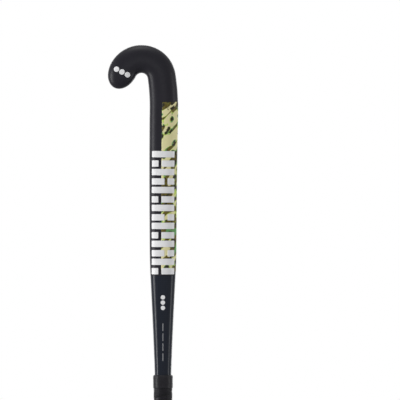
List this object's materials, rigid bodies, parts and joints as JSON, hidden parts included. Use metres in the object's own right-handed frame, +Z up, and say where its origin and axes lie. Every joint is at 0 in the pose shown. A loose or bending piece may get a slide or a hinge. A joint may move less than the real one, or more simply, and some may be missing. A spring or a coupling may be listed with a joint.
{
  "type": "field hockey stick",
  "caption": "Composite field hockey stick with a short hook, a flat playing face, a rounded back, a wrapped patterned panel and a round cushioned handle.",
  "frame": {"origin": "centre of the flat butt end, under the end cap", "axes": "+Z up the handle towards the hook, -Y the way the flat playing face looks, +X towards the toe"},
  "size_m": [0.1161, 0.0667, 0.927],
  "materials": {
    "lacquered_laminate": "satin black at the hook, glossy dark navy towards the handle",
    "bare_laminate": "matte",
    "foam": "matte",
    "cap_rubber": "matte",
    "adhesive_tape": "matte",
    "grip_cushion": "matte, embossed",
    "finishing_tape": "satin",
    "printed_panel": "satin print",
    "white_transfer": "satin",
    "grey_transfer": "satin"
  },
  "bodies": {
    "root": {"shell": "lacquered_laminate", "heel_tube": "bare_laminate", "toe_tube": "bare_laminate", "head_core": "foam", "butt_plug": "foam", "end_cap": "cap_rubber", "grip_underlay": "adhesive_tape", "cushion_grip": "grip_cushion", "finishing_tape": "finishing_tape", "wrap_panel": "printed_panel", "back_blocks": "white_transfer", "face_blocks": "white_transfer", "back_toe_dots": "white_transfer", "face_toe_dots": "white_transfer", "back_shaft_dots": "white_transfer", "face_shaft_dots": "white_transfer", "back_fine_line": "grey_transfer", "face_fine_line": "grey_transfer"}
  },
  "joints": []
}
